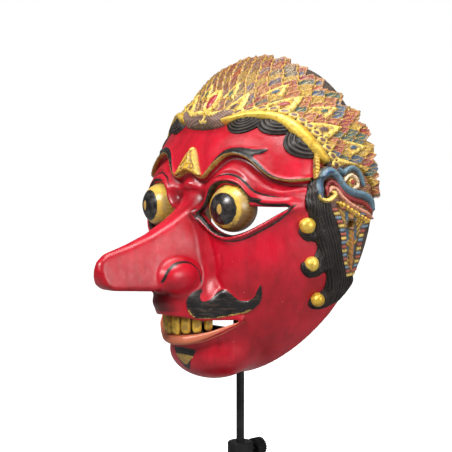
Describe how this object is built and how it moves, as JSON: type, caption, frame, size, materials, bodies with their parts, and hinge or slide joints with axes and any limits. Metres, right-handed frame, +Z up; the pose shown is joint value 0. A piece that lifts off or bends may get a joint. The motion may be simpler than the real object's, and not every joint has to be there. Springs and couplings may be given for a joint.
{
  "type": "dance mask on display stand",
  "caption": "Hollow carved dance mask with a long pointed nose, bulging eyes and relief crown, lifting off a rod that turns and slides in a felted square stand.",
  "frame": {"origin": "rod axis on the underside of the base felt", "axes": "+Z up along the rod, the face looks along -Y, +X is the mask wearer's left"},
  "size_m": [0.163, 0.167, 0.3281],
  "materials": {
    "red_lacquered_wood": "carved softwood, red lacquer",
    "gilded_black_painted_wood": "turned ball, gilt with black iris",
    "gilded_wood": "carved relief, gilt with coloured inlays",
    "plain_wood": "bare dowel",
    "black_painted_wood": "carved locks, black paint",
    "painted_ornament_wood": "carved scrollwork, blue, red and gilt paint",
    "black_steel": "satin black",
    "plain_steel": "turned steel",
    "grey_felt": "pressed felt"
  },
  "bodies": {
    "base": {"base_plate": "black_steel", "base_felt": "grey_felt", "socket_tube": "black_steel", "base_screw": "plain_steel"},
    "collar": {"stop_collar": "black_steel"},
    "collar_screw": {"collar_screw": "black_steel"},
    "rod": {"upright_rod": "black_steel"},
    "mask": {"jaw_bracket": "black_steel", "bracket_socket": "black_steel", "bracket_screws": "plain_steel", "face_shell": "red_lacquered_wood", "nose": "red_lacquered_wood", "nose_dowel": "plain_wood", "eyeball_left": "gilded_black_painted_wood", "eyeball_right": "gilded_black_painted_wood", "eye_dowels": "plain_wood", "upper_teeth": "gilded_wood", "brow_jewel": "gilded_wood", "crown": "gilded_wood", "crown_lobes": "gilded_wood", "crown_gem": "red_lacquered_wood", "diadem_band": "gilded_wood", "hair_fringe": "black_painted_wood", "sideburn_left": "black_painted_wood", "sideburn_right": "black_painted_wood", "gilt_bosses": "gilded_wood", "ear_ornament_left": "painted_ornament_wood", "ear_ornament_right": "painted_ornament_wood", "ear_drop_left": "painted_ornament_wood", "ear_drop_right": "painted_ornament_wood"}
  },
  "joints": [
    {"name": "mask_turn", "type": "hinge", "parent": "base", "child": "collar", "pos_m": [0, 0, 0.075], "axis": [0, 0, 1], "continuous": true},
    {"name": "rod_height", "type": "slide", "parent": "collar", "child": "rod", "axis": [0, 0, 1], "range_m": [-0.026, 0.015]},
    {"name": "collar_screw_turn", "type": "hinge", "parent": "collar", "child": "collar_screw", "pos_m": [0, 0.01, 0.081], "axis": [0, 1, 0], "range_deg": [0, 720]},
    {"name": "mask_lift_off", "type": "slide", "parent": "rod", "child": "mask", "axis": [0, 0, 1], "range_m": [0, 0.06]}
  ]
}
